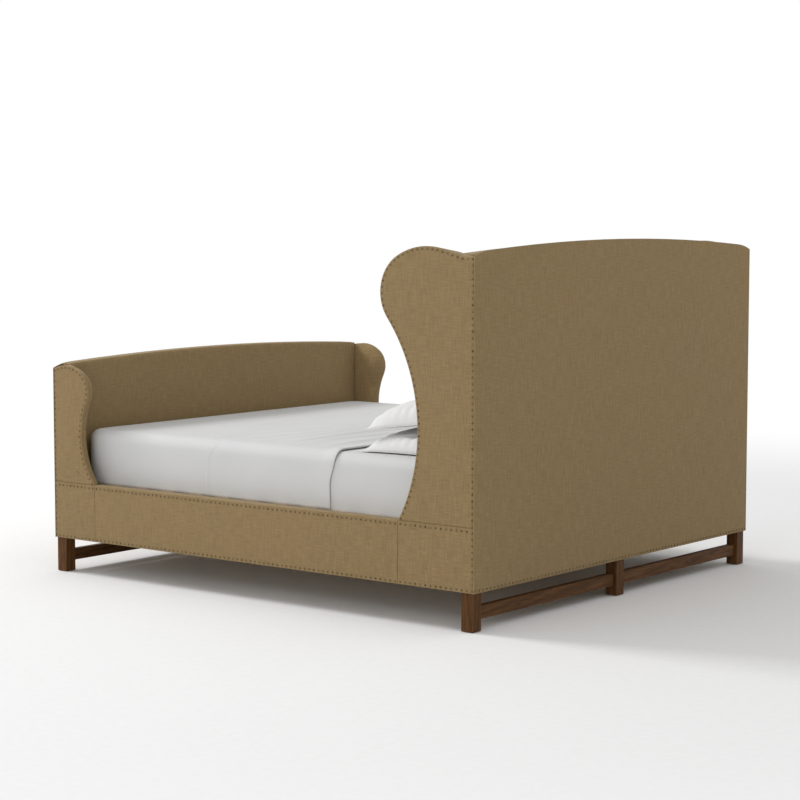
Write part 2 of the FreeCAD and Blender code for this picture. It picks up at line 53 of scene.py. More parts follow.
# ---------------------------------------------------------------- camera
VIEW_AZIMUTH = 128.457
VIEW_ELEVATION = 5.031
CAMERA_PLACE = (7.673, 6.071, 1.6427)
CAMERA_LENS = 95.45
CAMERA_SENSOR = 36.0


def back_vector(azimuth, elevation):
    """Unit vector from the object towards a viewer at that azimuth and elevation."""
    a, e = math.radians(azimuth), math.radians(elevation)
    return Vector((math.sin(a) * math.cos(e), -math.cos(a) * math.cos(e), math.sin(e)))


def add_camera():
    data = bpy.data.cameras.new("camera")
    data.lens = CAMERA_LENS
    data.sensor_width = CAMERA_SENSOR
    data.clip_end = 100
    camera = bpy.data.objects.new("camera", data)
    bpy.context.scene.collection.objects.link(camera)
    camera.location = CAMERA_PLACE
    camera.rotation_mode = "QUATERNION"
    away = -back_vector(VIEW_AZIMUTH, VIEW_ELEVATION)
    camera.rotation_quaternion = away.to_track_quat("-Z", "Y")
    bpy.context.scene.camera = camera


add_camera()


# ---------------------------------------------------------------- small helpers
def new_object(name, points, faces, material, body, smooth=True):
    mesh = bpy.data.meshes.new(name)
    mesh.from_pydata([tuple(p) for p in points], [], [tuple(int(i) for i in f) for f in faces])
    mesh.validate()
    mesh.shade_smooth() if smooth else mesh.shade_flat()
    mesh.update()
    obj = bpy.data.objects.new(name, mesh)
    bpy.context.scene.collection.objects.link(obj)
    obj.data.materials.append(material)
    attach(obj, body)
    return obj


def unit(v):
    return v / np.maximum(np.linalg.norm(v, axis=1, keepdims=True), 1e-12)


def waves(points, size, seed):
    """Smooth noise from -1 to 1 at each point."""
    shift = Vector((seed * 7.3, seed * 3.1, seed * 5.7))
    return np.array([noise.noise(Vector(p) / size + shift) for p in points])


def smoothstep(x):
    x = np.clip(x, 0, 1)
    return x * x * (3 - 2 * x)


# ---------------------------------------------------------------- outlines read from the CAD frame
def face_loop(node, axis, top):
    """Counter-clockwise outline of a CAD node's flat face at its highest or lowest place along axis."""
    mesh = nodes[node].data
    mesh.calc_loop_triangles()
    co = np.array([v.co for v in mesh.vertices])
    level = co[:, axis].max() if top else co[:, axis].min()
    keep = [i for i in range(3) if i != axis]
    directed = {}
    for tri in mesh.loop_triangles:
        if any(abs(co[i, axis] - level) > 2e-5 for i in tri.vertices):
            continue
        keys = [tuple(np.round(co[i, keep], 5)) for i in tri.vertices]
        for a, b in zip(keys, keys[1:] + keys[:1]):
            directed[(a, b)] = directed.get((a, b), 0) + 1
    follow = {a: b for a, b in directed if (b, a) not in directed}
    loops = []
    while follow:
        start = next(iter(follow))
        loop, here = [], start
        while here in follow:
            loop.append(here)
            here = follow.pop(here)
        loops.append(np.array(loop))
    loop = max(loops, key=len)
    nxt = np.roll(loop, -1, 0)
    area = (loop[:, 0] * nxt[:, 1] - nxt[:, 0] * loop[:, 1]).sum()
    return loop if area > 0 else loop[::-1]


def even_loop(loop, step, corner_degrees=25):
    """The loop with evenly spaced points, its facets smoothed out, and where its corners are."""
    before = unit(loop - np.roll(loop, 1, 0))
    after = unit(np.roll(loop, -1, 0) - loop)
    turn = np.degrees(np.arccos(np.clip((before * after).sum(1), -1, 1)))
    found = [i for i, t in enumerate(turn) if t > corner_degrees]
    out, corners = [], []
    for a, b in zip(found, found[1:] + [found[0] + len(loop)]):
        run = loop[np.arange(a, b + 1) % len(loop)]
        even = even_run(run, max(2, int(round(path_length(run) / step))))
        for _ in range(5):
            even[1:-1] = (even[:-2] + 2 * even[1:-1] + even[2:]) / 4
        corners.append(sum(len(part) for part in out))
        out.append(even[:-1])
    return np.concatenate(out), corners


def path_length(path):
    return float(np.linalg.norm(np.diff(path, axis=0), axis=1).sum())


def even_run(path, count):
    """The path divided into count equal steps."""
    along = np.concatenate([[0], np.cumsum(np.linalg.norm(np.diff(path, axis=0), axis=1))])
    at = np.linspace(0, along[-1], count + 1)
    return np.stack([np.interp(at, along, path[:, k]) for k in range(path.shape[1])], 1)


def inset_loop(loop, corners, distance):
    """The loop moved inwards by distance, run by run between its corners, with as many points."""
    if distance == 0:
        return loop
    before = unit(loop - np.roll(loop, 1, 0))
    after = unit(np.roll(loop, -1, 0) - loop)
    n1 = np.stack([-before[:, 1], before[:, 0]], 1)
    n2 = np.stack([-after[:, 1], after[:, 0]], 1)
    moved = loop + distance * (n1 + n2) / (1 + (n1 * n2).sum(1))[:, None]
    closed = np.concatenate([loop, loop[:1]])
    clear = distance_to(moved, closed) > distance * 0.995
    clear[corners] = True
    out = []
    for a, b in zip(corners, corners[1:] + [corners[0] + len(loop)]):
        run = np.arange(a, b + 1) % len(loop)
        out.append(even_run(moved[run[clear[run]]], b - a)[:-1])
    return np.concatenate(out)


def distance_to(points, path):
    """Distance from each 2-D point to an open path of 2-D points."""
    best = np.full(len(points), 1e9)
    for a, b in zip(path[:-1], path[1:]):
        d = b - a
        t = np.clip(((points - a) @ d) / max(d @ d, 1e-12), 0, 1)
        best = np.minimum(best, np.linalg.norm(points - a - t[:, None] * d, axis=1))
    return best


# ---------------------------------------------------------------- upholstered panels
EDGE_RADIUS = 0.004
EDGE_RINGS = (0.0, 0.00035, 0.0012, 0.0025, 0.004)
NAIL_RINGS = (0.0055, 0.007, 0.010, 0.013, 0.018)
ROLL_RINGS = (0.008, 0.013, 0.018, 0.025, 0.034, 0.045, 0.056)
NAIL_PUCKER = 0.0012
NAIL_PUCKER_REACH = 0.007
CROWN_REACH = 0.070


def nail_centres():
    """Centre of each nailhead, from the vertices of the CAD node."""
    co = np.array([v.co for v in nodes["nailheads"].data.vertices])
    cells = {}
    for p in co:
        cells.setdefault(tuple(np.floor(p / 0.012).astype(int)), []).append(p)
    left, centres = {k: np.array(v) for k, v in cells.items()}, []
    while left:
        key = next(iter(left))
        seed = left[key][0]
        group = []
        for dx in (-1, 0, 1):
            for dy in (-1, 0, 1):
                for dz in (-1, 0, 1):
                    near = (key[0] + dx, key[1] + dy, key[2] + dz)
                    if near not in left:
                        continue
                    far = np.linalg.norm(left[near] - seed, axis=1) > 0.0115
                    group.append(left[near][~far])
                    if far.any():
                        left[near] = left[near][far]
                    else:
                        del left[near]
        group = np.concatenate(group)
        centres.append((group.min(0) + group.max(0)) / 2)
    return np.array(centres)


NAILS = nail_centres()


def round_depth(distance, reach, depth):
    """How far a surface has rolled back at that distance from its edge."""
    x = np.clip(1 - distance / reach, 0, 1)
    return depth * (1 - np.sqrt(np.maximum(0, 1 - x * x)))


def fill_inside(ring, spacing):
    """Triangles and points that fill a closed ring of 2-D points."""
    low, high = ring.min(0) + spacing / 2, ring.max(0) - spacing / 2
    nx = max(1, int((high[0] - low[0]) / spacing))
    ny = max(1, int((high[1] - low[1]) / (spacing * 0.866)))
    grid = []
    for j in range(ny + 1):
        y = low[1] + (high[1] - low[1]) * j / ny
        for i in range(nx + 1):
            grid.append((low[0] + (high[0] - low[0]) * (i + 0.5 * (j % 2)) / nx, y))
    grid = np.array(grid)
    x, y = grid[:, 0], grid[:, 1]
    inside = np.zeros(len(grid), bool)
    for (x1, y1), (x2, y2) in zip(ring, np.roll(ring, -1, 0)):
        cross = (y1 > y) != (y2 > y)
        if cross.any():
            at = (x2 - x1) * (y - y1) / (y2 - y1 + 1e-30) + x1
            inside ^= cross & (x < at)
    closed = np.concatenate([ring, ring[:1]])
    grid = grid[inside]
    if len(grid):
        grid = grid[distance_to(grid, closed) > spacing * 0.55]
    points = [Vector(p) for p in np.concatenate([ring, grid])]
    n = len(ring)
    result = geometry.delaunay_2d_cdt(points, [], [list(range(n))], 1, 1e-7)
    if len(result[0]) != len(points):
        raise RuntimeError("a panel's filling has crossing edges")
    order = {old[0]: new for new, old in enumerate(result[3])}
    back = {new: old for old, new in order.items()}
    return grid, [[back[i] for i in f] for f in result[2]]


class Panel:
    """A closed upholstered form: a 2-D outline with two padded faces and a wall between them."""

    def __init__(self, outline, rings, spacing):
        loop, corners = outline
        self.rings = [inset_loop(loop, corners, d) for d in rings]
        self.n = len(loop)
        self.grid, self.inner = fill_inside(self.rings[-1], spacing)
        parts = self.rings + ([self.grid] if len(self.grid) else [])
        self.flat = np.concatenate(parts)
        closed = np.concatenate([loop, loop[:1]])
        self.edge = distance_to(self.flat, closed)
        self.loop = loop

    def face(self):
        """Faces of one side, counter-clockwise in the outline's plane."""
        faces = []
        for k in range(len(self.rings) - 1):
            for i in range(self.n):
                j = (i + 1) % self.n
                a, b = k * self.n, (k + 1) * self.n
                faces.append((a + i, a + j, b + j, b + i))
        base = (len(self.rings) - 1) * self.n
        for f in self.inner:
            faces.append(tuple(base + i for i in f))
        return faces

    def solid(self, front, back, wall_rows=3):
        """Points as (u, v, w) and faces, with w from back up to front at each point."""
        count = len(self.flat)
        top = np.column_stack([self.flat, front])
        bottom = np.column_stack([self.flat, back])
        points = [top, bottom]
        faces = [f for f in self.face()] + [tuple(count + i for i in reversed(f)) for f in self.face()]
        rows = [list(range(self.n))]
        start = 2 * count
        for r in range(1, wall_rows):
            t = r / wall_rows
            ring = np.column_stack([self.loop, front[:self.n] * (1 - t) + back[:self.n] * t])
            points.append(ring)
            rows.append(list(range(start, start + self.n)))
            start += self.n
        rows.append(list(range(count, count + self.n)))
        for upper, lower in zip(rows[:-1], rows[1:]):
            for i in range(self.n):
                j = (i + 1) % self.n
                faces.append((upper[j], upper[i], lower[i], lower[j]))
        return np.concatenate(points), faces


def place_points(points, axis, mirror=1):
    """(u, v, w) to (x, y, z): w runs along axis, and u, v along the other two in order."""
    out = np.zeros_like(points)
    others = [i for i in range(3) if i != axis]
    out[:, others[0]], out[:, others[1]], out[:, axis] = points[:, 0], points[:, 1], points[:, 2]
    out[:, 0] *= mirror
    return out


def oriented(faces, axis, mirror=1):
    """Faces with outward normals: the (x, z, y) order and a mirror each turn them inside out."""
    flips = (axis == 1) + (mirror < 0)
    return [tuple(reversed(f)) for f in faces] if flips % 2 else faces


def nail_puckers(panel, axis, level):
    """Depth of the little hollows that the nails pull into a face at that level."""
    keep = [i for i in range(3) if i != axis]
    near = NAILS[np.abs(NAILS[:, axis] - level) < 0.004][:, keep]
    depth = np.zeros(len(panel.flat))
    edge_band = panel.edge < 0.03
    spots = panel.flat[edge_band]
    local = np.zeros(len(spots))
    for c in near:
        d2 = ((spots - c) ** 2).sum(1)
        local = np.maximum(local, np.exp(-d2 / NAIL_PUCKER_REACH ** 2))
    depth[edge_band] = local * NAIL_PUCKER
    return depth


def crown(panel, height, reach=CROWN_REACH, start=0.012):
    return height * smoothstep((panel.edge - start) / reach)


def build_panel(name, panel, axis, front, back, replaces, body="bed_frame", both=False, wall_rows=3):
    """Make the panel, and its mirror image on the right where both is set."""
    made = []
    points, faces = panel.solid(front, back, wall_rows)
    for side, mirror in (SIDES if both else ((None, 1),)):
        suffix = "_" + side if side else ""
        xyz = place_points(points, axis, mirror)
        obj = new_object(name + suffix, xyz, oriented(faces, axis, mirror), linen(), body)
        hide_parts(*[r + suffix for r in replaces])
        made.append(obj)
    return made


# ---------------------------------------------------------------- material helpers
MATERIALS = {}


def material(name):
    """A new node material, with its node tree and its shader."""
    mat = bpy.data.materials.new(name)
    mat.use_nodes = True
    MATERIALS[name] = mat
    tree = mat.node_tree
    return mat, tree, tree.nodes["Principled BSDF"]


def node(tree, kind, inputs=None, **settings):
    made = tree.nodes.new(kind)
    for key, value in settings.items():
        setattr(made, key, value)
    for key, value in (inputs or {}).items():
        made.inputs[key].default_value = value
    return made


def link(tree, a, b):
    tree.links.new(a, b)


def object_coords(tree, scale, rotation=(0, 0, 0)):
    """Object coordinates, scaled; the result is in cycles of the texture per metre."""
    coords = node(tree, "ShaderNodeTexCoord")
    mapping = node(tree, "ShaderNodeMapping")
    mapping.inputs["Scale"].default_value = scale
    mapping.inputs["Rotation"].default_value = rotation
    link(tree, coords.outputs["Object"], mapping.inputs["Vector"])
    return mapping.outputs["Vector"]


def math_node(tree, operation, a, b=None, clamp=False):
    made = node(tree, "ShaderNodeMath", operation=operation, use_clamp=clamp)
    for i, value in enumerate((a, b)):
        if value is None:
            continue
        if isinstance(value, (int, float)):
            made.inputs[i].default_value = value
        else:
            link(tree, value, made.inputs[i])
    return made.outputs[0]


def ramp(tree, factor, stops):
    made = node(tree, "ShaderNodeValToRGB")
    elements = made.color_ramp.elements
    while len(elements) > 1:
        elements.remove(elements[0])
    elements[0].position, elements[0].color = stops[0][0], (*stops[0][1], 1)
    for place, colour in stops[1:]:
        elements.new(place).color = (*colour, 1)
    link(tree, factor, made.inputs["Fac"])
    return made.outputs["Color"]


def noise_at(tree, vector, scale, detail=2.0, roughness=0.5):
    made = node(tree, "ShaderNodeTexNoise")
    made.inputs["Scale"].default_value = scale
    made.inputs["Detail"].default_value = detail
    made.inputs["Roughness"].default_value = roughness
    link(tree, vector, made.inputs["Vector"])
    return made.outputs["Fac"]


def bump(tree, shader, height, strength, distance):
    made = node(tree, "ShaderNodeBump")
    made.inputs["Strength"].default_value = strength
    made.inputs["Distance"].default_value = distance
    link(tree, height, made.inputs["Height"])
    link(tree, made.outputs["Normal"], shader.inputs["Normal"])


def srgb(r, g, b):
    """Linear colour of an 8-bit sRGB colour."""
    def channel(c):
        c /= 255
        return c / 12.92 if c <= 0.04045 else ((c + 0.055) / 1.055) ** 2.4
    return channel(r), channel(g), channel(b)


def linen():
    """Tan linen: a fine plain weave with uneven threads both ways, a soft sheen and faint colour drift."""
    if "tan_linen" in MATERIALS:
        return MATERIALS["tan_linen"]
    mat, tree, shader = material("tan_linen")
    coords = node(tree, "ShaderNodeTexCoord")
    split = node(tree, "ShaderNodeSeparateXYZ")
    link(tree, coords.outputs["Object"], split.inputs[0])
    across = math_node(tree, "ADD", split.outputs["X"], split.outputs["Y"])
    lie = math_node(tree, "MULTIPLY", split.outputs["Y"], 0.004)
    upright = math_node(tree, "ADD", split.outputs["Z"], lie)

    def threads(u, v, du, dv, detail):
        joined = node(tree, "ShaderNodeCombineXYZ")
        link(tree, math_node(tree, "MULTIPLY", u, du), joined.inputs["X"])
        link(tree, math_node(tree, "MULTIPLY", v, dv), joined.inputs["Y"])
        return noise_at(tree, joined.outputs[0], 1.0, detail)

    warp = threads(across, upright, 420.0, 18.0, 2.0)
    weft = threads(upright, across, 420.0, 18.0, 2.0)
    slub_up = math_node(tree, "MULTIPLY", threads(across, upright, 170.0, 11.0, 2.0), 1.25)
    slub_across = math_node(tree, "MULTIPLY", threads(upright, across, 190.0, 14.0, 1.0), 0.75)
    fine = math_node(tree, "ADD", warp, weft)
    slubs = math_node(tree, "ADD", slub_up, slub_across)
    drift = noise_at(tree, coords.outputs["Object"], 1.6, 2.0)
    weave = math_node(tree, "ADD", math_node(tree, "MULTIPLY", fine, 0.30),
                      math_node(tree, "MULTIPLY", slubs, 0.20))
    tone = ramp(tree, weave, [(0.32, srgb(117, 98, 68)), (0.50, srgb(134, 113, 79)),
                              (0.68, srgb(150, 128, 92))])
    hue = node(tree, "ShaderNodeMix", data_type="RGBA", blend_type="MULTIPLY")
    hue.inputs[0].default_value = 1.0
    link(tree, tone, hue.inputs[6])
    drift_colour = ramp(tree, drift, [(0.35, (0.98, 0.99, 0.98)), (0.65, (1.01, 1.0, 0.99))])
    link(tree, drift_colour, hue.inputs[7])
    link(tree, hue.outputs[2], shader.inputs["Base Color"])
    rough = ramp(tree, weave, [(0.35, (0.95, 0.95, 0.95)), (0.65, (0.80, 0.80, 0.80))])
    link(tree, rough, shader.inputs["Roughness"])
    shader.inputs["Specular IOR Level"].default_value = 0.18
    shader.inputs["Sheen Weight"].default_value = 0.18
    shader.inputs["Sheen Roughness"].default_value = 0.45
    shader.inputs["Sheen Tint"].default_value = (0.86, 0.78, 0.62, 1)
    warp_line = node(tree, "ShaderNodeTexWave", wave_type="BANDS", bands_direction="X")
    weft_line = node(tree, "ShaderNodeTexWave", wave_type="BANDS", bands_direction="X")
    for wave, u, v in ((warp_line, across, upright), (weft_line, upright, across)):
        joined = node(tree, "ShaderNodeCombineXYZ")
        link(tree, u, joined.inputs["X"])
        link(tree, v, joined.inputs["Y"])
        link(tree, joined.outputs[0], wave.inputs["Vector"])
        wave.inputs["Scale"].default_value = 200.0
        wave.inputs["Distortion"].default_value = 1.5
        wave.inputs["Detail"].default_value = 1.0
        wave.inputs["Detail Scale"].default_value = 1.0
    grid = math_node(tree, "ADD", warp_line.outputs["Fac"], weft_line.outputs["Fac"])
    height = math_node(tree, "ADD", math_node(tree, "MULTIPLY", grid, 0.25), weave)
    bump(tree, shader, height, 0.4, 0.0004)
    return mat


def cotton(name, tint, crease):
    """Smooth white cotton with a very fine weave and faint creases."""
    if name in MATERIALS:
        return MATERIALS[name]
    mat, tree, shader = material(name)
    coords = object_coords(tree, (1, 1, 1))
    soft = noise_at(tree, coords, 3.0, 3.0)
    colour = ramp(tree, soft, [(0.3, tuple(c * 0.96 for c in tint)), (0.7, tint)])
    link(tree, colour, shader.inputs["Base Color"])
    fine_a = noise_at(tree, object_coords(tree, (900, 40, 40)), 1.0, 2.0)
    fine_b = noise_at(tree, object_coords(tree, (40, 900, 900)), 1.0, 2.0)
    weave = math_node(tree, "ADD", fine_a, fine_b)
    rough = ramp(tree, weave, [(0.7, (0.86, 0.86, 0.86)), (1.0, (0.74, 0.74, 0.74))])
    link(tree, rough, shader.inputs["Roughness"])
    shader.inputs["Specular IOR Level"].default_value = 0.25
    shader.inputs["Sheen Weight"].default_value = 0.12
    shader.inputs["Sheen Roughness"].default_value = 0.4
    folds = noise_at(tree, object_coords(tree, (5, 9, 7)), 1.0, 3.0)
    height = math_node(tree, "ADD", math_node(tree, "MULTIPLY", weave, 0.06),
                       math_node(tree, "MULTIPLY", folds, crease))
    bump(tree, shader, height, 0.5, 0.004)
    return mat


def wood(name, dark, middle, light, along, gloss):
    """Wood with its grain along one axis: pores, rings and a soft varnish."""
    if name in MATERIALS:
        return MATERIALS[name]
    mat, tree, shader = material(name)
    stretch = [22.0, 22.0, 22.0]
    stretch[along] = 1.4
    coords = object_coords(tree, stretch)
    rings = node(tree, "ShaderNodeTexWave", wave_type="BANDS", bands_direction="DIAGONAL")
    rings.inputs["Scale"].default_value = 0.9
    rings.inputs["Distortion"].default_value = 7.0
    rings.inputs["Detail"].default_value = 3.0
    rings.inputs["Detail Scale"].default_value = 1.2
    link(tree, coords, rings.inputs["Vector"])
    pore_scale = [300.0, 300.0, 300.0]
    pore_scale[along] = 16.0
    pores = noise_at(tree, object_coords(tree, pore_scale), 1.0, 2.0)
    patch = noise_at(tree, object_coords(tree, (6, 6, 6)), 1.0, 2.0)
    mixed = math_node(tree, "ADD", math_node(tree, "MULTIPLY", rings.outputs["Fac"], 0.16),
                      math_node(tree, "MULTIPLY", pores, 0.62))
    mixed = math_node(tree, "ADD", mixed, math_node(tree, "MULTIPLY", patch, 0.26))
    colour = ramp(tree, mixed, [(0.30, dark), (0.52, middle), (0.78, light)])
    link(tree, colour, shader.inputs["Base Color"])
    rough = ramp(tree, pores, [(0.35, (gloss + 0.18,) * 3), (0.65, (gloss,) * 3)])
    link(tree, rough, shader.inputs["Roughness"])
    shader.inputs["Specular IOR Level"].default_value = 0.14
    bump(tree, shader, mixed, 0.3, 0.0006)
    return mat


def metal(name, colour, worn, roughness, scale):
    """Metal with tarnish in patches and fine scratches."""
    if name in MATERIALS:
        return MATERIALS[name]
    mat, tree, shader = material(name)
    patch = noise_at(tree, object_coords(tree, (1, 1, 1)), scale, 3.0)
    tone = ramp(tree, patch, [(0.35, colour), (0.68, worn)])
    link(tree, tone, shader.inputs["Base Color"])
    shader.inputs["Metallic"].default_value = 0.85
    scratches = noise_at(tree, object_coords(tree, (300, 300, 2600)), 1.0, 2.0)
    rough = ramp(tree, scratches, [(0.3, (roughness,) * 3), (0.7, (roughness + 0.2,) * 3)])
    link(tree, rough, shader.inputs["Roughness"])
    bump(tree, shader, scratches, 0.12, 0.0003)
    return mat


def plastic(name, colour):
    """Moulded nylon with a fine spark finish."""
    mat, tree, shader = material(name)
    speck = noise_at(tree, object_coords(tree, (1, 1, 1)), 1500.0, 2.0)
    drift = noise_at(tree, object_coords(tree, (1, 1, 1)), 40.0, 2.0)
    tone = ramp(tree, drift, [(0.3, colour), (0.7, tuple(c * 1.5 for c in colour))])
    link(tree, tone, shader.inputs["Base Color"])
    rough = ramp(tree, speck, [(0.3, (0.42,) * 3), (0.7, (0.6,) * 3)])
    link(tree, rough, shader.inputs["Roughness"])
    bump(tree, shader, speck, 0.2, 0.0002)
    return mat


def finish_cad_nodes():
    """Give every carried-over CAD node its material."""
    oak_tones = (srgb(58, 36, 16), srgb(82, 53, 25), srgb(104, 70, 37))
    pine_tones = (srgb(176, 142, 98), srgb(205, 174, 130), srgb(222, 196, 156))
    oak_up = wood("stained_oak_upright", *oak_tones, 2, 0.42)
    oak_across = wood("stained_oak_across", *oak_tones, 0, 0.42)
    pine = [wood("frame_timber_" + "xyz"[i], *pine_tones, i, 0.62) for i in range(3)]
    bronze = metal("nail_bronze", srgb(86, 72, 52), srgb(128, 110, 82), 0.46, 55.0)
    zinc = metal("zinc_steel", srgb(150, 152, 155), srgb(188, 190, 192), 0.32, 25.0)
    nylon = plastic("nylon", srgb(34, 34, 36))
    slots = {row["node"]: row["material_slot"] for row in frame["record"]["subparts"]}
    for name, obj in nodes.items():
        low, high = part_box(name)
        size = high - low
        longest = max(range(3), key=lambda i: size[i])
        chosen = {"stained_oak": oak_up if longest == 2 else oak_across,
                  "frame_timber": pine[0 if name == "slats" else longest],
                  "nail_bronze": bronze, "zinc_steel": zinc, "nylon": nylon}.get(slots[name])
        if chosen is None:
            continue
        if not obj.data.materials:
            obj.data.materials.append(chosen)
        for slot in obj.material_slots:
            slot.material = chosen


# ---------------------------------------------------------------- bed frame upholstery
WING_ROLL_REACH = 0.056
WING_ROLL_DEPTH = 0.050
WING_ROLL_FADE = 0.090
WING_CROWN = 0.0022
PAD_CROWN = 0.008
PAD_RINGS = (0.007, 0.011, 0.017, 0.026, 0.040, 0.060)
PAD_ROLL = 0.018
PAD_PRESS = 0.003
TOP_FALL = 0.012
FRONT_FALL = 0.040
SEAM_STEP = 0.0009
SEAM_PLACE = 0.0052
HEM_COVER = 0.001


def seam_step(panel, places=SEAM_PLACE):
    """The outer cloth ends a little inside the edge, over the cloth that wraps round it."""
    return SEAM_STEP * (1 - smoothstep((panel.edge - places + 0.0006) / 0.0012))


def sag(panel, amount, size, seed):
    points = np.column_stack([panel.flat, np.zeros(len(panel.flat))])
    return amount * waves(points, size, seed) * smoothstep((panel.edge - 0.01) / 0.05)


def rolled_edge(loop, outer_y, low_z):
    """The part of a wing's outline that is neither its back nor its bottom, run on downwards."""
    keep = (np.abs(loop[:, 0] - outer_y) > 0.004) & (loop[:, 1] > low_z + 0.0005)
    start = next(i for i in range(len(loop)) if keep[i] and not keep[i - 1])
    path = loop[[(start + k) % len(loop) for k in range(int(keep.sum()))]]
    if path[0][1] > path[-1][1]:
        path = path[::-1]
    return np.concatenate([[(path[0][0], low_z - 0.1)], path])


def wing_panel(end):
    """Side panels with a flat outer face and an inner face that rolls over the front and the top."""
    node_name = end + "_wing_cover"
    low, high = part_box(node_name + "_left")
    outline = even_loop(face_loop(node_name + "_left", 0, True), 0.00635)
    panel = Panel(outline, sorted(set(EDGE_RINGS + NAIL_RINGS + ROLL_RINGS)), 0.020)
    outer_y = high.y if end == "head" else low.y
    rolled = rolled_edge(panel.loop, outer_y, low.z)
    to_roll = distance_to(panel.flat, rolled)
    edge = round_depth(panel.edge, EDGE_RADIUS, EDGE_RADIUS)
    front = high.x - edge - seam_step(panel) - nail_puckers(panel, 0, high.x) - 0.0002
    front += crown(panel, WING_CROWN) + sag(panel, 0.0005, 0.25, 3)
    ease = smoothstep((panel.edge - 0.002) / 0.06)
    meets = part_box("head_panel")[0].y if end == "head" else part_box("foot_inner_pad")[1].y
    clear = meets - panel.flat[:, 0] if end == "head" else panel.flat[:, 0] - meets
    rolls = smoothstep((clear + WING_ROLL_FADE / 3) / WING_ROLL_FADE)
    back = low.x + np.maximum(edge, rolls * round_depth(to_roll, WING_ROLL_REACH, WING_ROLL_DEPTH))
    back += -0.002 * ease + sag(panel, 0.0008, 0.2, 5)
    build_panel(end + "_wing", panel, 0, front, back, [node_name], both=True, wall_rows=2)


def block_panel(name, node_name, seed, hem):
    """Rectangular side panel of a base block or a rail."""
    low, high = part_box(node_name + "_left")
    bottom = low.z - hem
    loop = np.array([(low.y, bottom), (high.y, bottom), (high.y, high.z), (low.y, high.z)])
    rings = sorted(set(EDGE_RINGS + NAIL_RINGS + (0.025,)))
    panel = Panel(even_loop(loop, 0.00635), rings, 0.022)
    edge = round_depth(panel.edge, EDGE_RADIUS, EDGE_RADIUS)
    front = high.x - edge - nail_puckers(panel, 0, high.x) - 0.0002
    front += crown(panel, WING_CROWN) + sag(panel, 0.0006, 0.22, seed)
    top = np.maximum(high.z - panel.flat[:, 1], 0)
    back = low.x + np.maximum(edge, round_depth(top, 0.012, 0.010)) + sag(panel, 0.0006, 0.2, seed + 1)
    build_panel(name, panel, 0, front, back, [node_name], both=True, wall_rows=6)


def arch_outline(cover, half, bottom):
    """Outline under an end board's arch, cut to a half width and a bottom."""
    loop = face_loop(cover, 1, cover.startswith("head"))
    top = loop[loop[:, 1] > loop[:, 1].min() + 0.1]
    top = top[np.argsort(top[:, 0])]
    spots = np.linspace(-half, half, int(2 * half / 0.01) + 1)
    heights = np.interp(spots, top[:, 0], top[:, 1])
    upper = np.column_stack([spots, heights])[::-1]
    return np.concatenate([[(-half, bottom), (half, bottom)], upper])


def end_panel(name, node_name, step, outward, seed, hem):
    """Thin flat covering on the head's back or the foot's front."""
    low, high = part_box(node_name)
    outline = even_loop(arch_outline(node_name, high.x, low.z - hem), step)
    panel = Panel(outline, sorted(set((0.0, 0.0003, 0.001, 0.0022) + NAIL_RINGS + (0.025,))), 0.030)
    edge = round_depth(panel.edge, 0.0024, 0.0024)
    level, far = (high.y, low.y) if outward > 0 else (low.y, high.y)
    face = edge + nail_puckers(panel, 1, level) + 0.0002
    face -= crown(panel, 0.0014) + sag(panel, 0.0007, 0.35, seed)
    outer = level - outward * face
    inner = far + outward * edge * 0.4
    front, back = (outer, inner) if outward > 0 else (inner, outer)
    build_panel(name, panel, 1, front, back, [node_name], wall_rows=2)


def pad_panel(name, node_name, cover, outward, seed):
    """Thick pad on the bed's side of an end board, rolled over its top edge and drawn in at its sides."""
    low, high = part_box(node_name)
    arch = arch_outline(cover, high.x + PAD_PRESS, low.z)
    panel = Panel(even_loop(arch, 0.010), sorted(set(EDGE_RINGS + PAD_RINGS)), 0.024)
    panel.top = arch[2:][::-1]
    edge = round_depth(panel.edge, EDGE_RADIUS, EDGE_RADIUS)
    face = np.maximum(edge, round_depth(panel.edge, PAD_ROLL, PAD_ROLL * 0.8))
    face -= PAD_CROWN * smoothstep((panel.edge - 0.008) / 0.16) * 0.5
    face += sag(panel, 0.0016, 0.3, seed)
    level, far = (high.y, low.y) if outward > 0 else (low.y, high.y)
    outer = level - outward * face
    inner = far + outward * edge * 0.3
    front, back = (outer, inner) if outward > 0 else (inner, outer)
    obj = build_panel(name, panel, 1, front, back, [node_name], wall_rows=8)[0]
    if outward < 0:
        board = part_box("head_panel")[0].y
        for v in obj.data.vertices:
            top = np.interp(v.co.x, panel.top[:, 0], panel.top[:, 1])
            near_top = smoothstep(1 - (top - v.co.z) / 0.16)
            fall = TOP_FALL * smoothstep((high.y - v.co.y) / 0.045)
            fall += FRONT_FALL * smoothstep((board + 0.01 - v.co.y) / 0.08)
            v.co.z -= near_top * fall


wing_panel("head")
wing_panel("foot")
block_panel("head_base", "head_base_cover", 11, HEM_COVER)
block_panel("foot_base", "foot_base_cover", 13, HEM_COVER)
block_panel("side_rail", "rail_cover", 15, HEM_COVER)
end_panel("head_back", "head_back_cover", 0.0085, 1, 21, HEM_COVER)
end_panel("foot_front", "foot_outer_cover", 0.0085, -1, 22, HEM_COVER)
pad_panel("head_pad", "head_front_pad", "head_back_cover", -1, 31)
pad_panel("foot_pad", "foot_inner_pad", "foot_outer_cover", 1, 32)
finish_cad_nodes()


